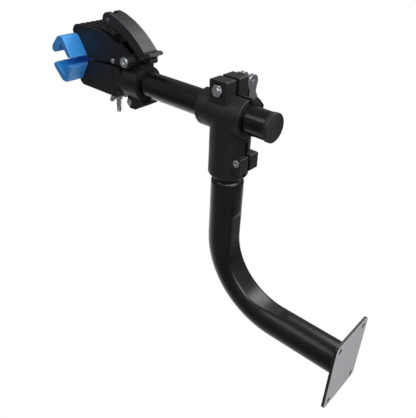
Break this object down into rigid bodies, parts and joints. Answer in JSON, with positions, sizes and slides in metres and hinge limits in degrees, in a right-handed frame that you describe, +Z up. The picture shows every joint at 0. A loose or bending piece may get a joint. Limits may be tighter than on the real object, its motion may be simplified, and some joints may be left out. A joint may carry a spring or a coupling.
{
  "type": "bicycle wall rack",
  "caption": "Wall-mounted bicycle holder: a plate with a bent post, a tee joint, a sliding arm and a cam clamp with soft pads.",
  "frame": {"origin": "centre of the wall plate's back face, on the wall", "axes": "+Z up, +Y into the wall, so the arm and the clamp reach out along -Y"},
  "size_m": [0.1143, 0.523, 0.4307],
  "materials": {
    "wall_plate": "satin black powder coat",
    "plate_weld": "satin black powder coat",
    "post_tube": "semi-gloss black powder coat",
    "tee_joint": "fine-textured black coat on a casting",
    "pinch_bolt": "zinc plated",
    "pinch_nut": "zinc plated",
    "skewer": "zinc plated",
    "skewer_nut": "zinc plated",
    "cam_washer": "matt",
    "quick_lever": "polished casting",
    "quick_grip": "satin",
    "quick_pin": "turned",
    "arm_liner": "matt",
    "arm_tube": "gloss black powder coat",
    "arm_cap": "matt",
    "clamp_body": "satin glass-filled nylon",
    "collar_bolt": "zinc plated",
    "collar_nut": "zinc plated",
    "jaw_bolt": "zinc plated",
    "jaw_nut": "zinc plated",
    "upper_jaw": "satin glass-filled nylon",
    "side_screws": "zinc plated",
    "upper_pad": "matt blue rubber",
    "lower_pad": "matt blue rubber",
    "cam_saddle": "plain",
    "draw_bolt": "zinc plated thread",
    "cam_pin": "plain",
    "cam_lever": "fine-grained glass-filled nylon",
    "lever_bumper": "matt",
    "draw_washer": "zinc plated",
    "wing_nut": "zinc plated"
  },
  "bodies": {
    "post": {"wall_plate": "wall_plate", "plate_weld": "plate_weld", "post_tube": "post_tube"},
    "tee": {"tee_joint": "tee_joint", "pinch_bolt": "pinch_bolt", "pinch_nut": "pinch_nut", "skewer": "skewer", "skewer_nut": "skewer_nut", "cam_washer": "cam_washer"},
    "quick_release": {"quick_lever": "quick_lever", "quick_grip": "quick_grip", "quick_pin": "quick_pin"},
    "liner": {"arm_liner": "arm_liner"},
    "arm": {"arm_tube": "arm_tube", "arm_cap": "arm_cap", "clamp_body": "clamp_body", "collar_bolt": "collar_bolt", "collar_nut": "collar_nut", "jaw_bolt": "jaw_bolt", "jaw_nut": "jaw_nut", "lower_pad": "lower_pad"},
    "jaw": {"upper_jaw": "upper_jaw", "side_screws": "side_screws", "upper_pad": "upper_pad", "cam_saddle": "cam_saddle"},
    "draw": {"draw_bolt": "draw_bolt"},
    "lever": {"cam_lever": "cam_lever", "cam_pin": "cam_pin", "lever_bumper": "lever_bumper"},
    "nut_carrier": {"draw_washer": "draw_washer"},
    "nut": {"wing_nut": "wing_nut"}
  },
  "joints": [
    {"name": "tee_swivel", "type": "hinge", "parent": "post", "child": "tee", "pos_m": [0, -0.217, 0.23], "axis": [0, 0, 1], "range_deg": [-90, 90]},
    {"name": "quick_release_swing", "type": "hinge", "parent": "tee", "child": "quick_release", "pos_m": [-0.0368, -0.22375, 0.3196], "axis": [0, 1, 0], "range_deg": [0, 150]},
    {"name": "arm_roll", "type": "hinge", "parent": "tee", "child": "liner", "pos_m": [0, -0.217, 0.287], "axis": [0, -1, 0], "continuous": true},
    {"name": "arm_slide", "type": "slide", "parent": "liner", "child": "arm", "axis": [0, -1, 0], "range_m": [-0.08, 0.028]},
    {"name": "jaw_open", "type": "hinge", "parent": "arm", "child": "jaw", "pos_m": [0, -0.388, 0.3185], "axis": [-1, 0, 0], "range_deg": [-2, 15]},
    {"name": "draw_swing", "type": "hinge", "parent": "jaw", "child": "draw", "pos_m": [0, -0.437, 0.3635], "axis": [1, 0, 0], "range_deg": [-2, 9]},
    {"name": "lever_swing", "type": "hinge", "parent": "draw", "child": "lever", "pos_m": [0, -0.437, 0.3635], "axis": [1, 0, 0], "range_deg": [0, 120]},
    {"name": "nut_travel", "type": "slide", "parent": "draw", "child": "nut_carrier", "axis": [0, 0, -1], "range_m": [-0.002, 0.0135]},
    {"name": "nut_spin", "type": "hinge", "parent": "nut_carrier", "child": "nut", "pos_m": [0, -0.437, 0.255], "axis": [0, 0, -1], "continuous": true}
  ],
  "couplings": [
    {"joint": "draw_swing", "follows": "jaw_open", "ratio": 0.565},
    {"joint": "nut_travel", "follows": "jaw_open", "m_per_rad": 0.051},
    {"joint": "nut_spin", "follows": "jaw_open", "ratio": 256}
  ]
}
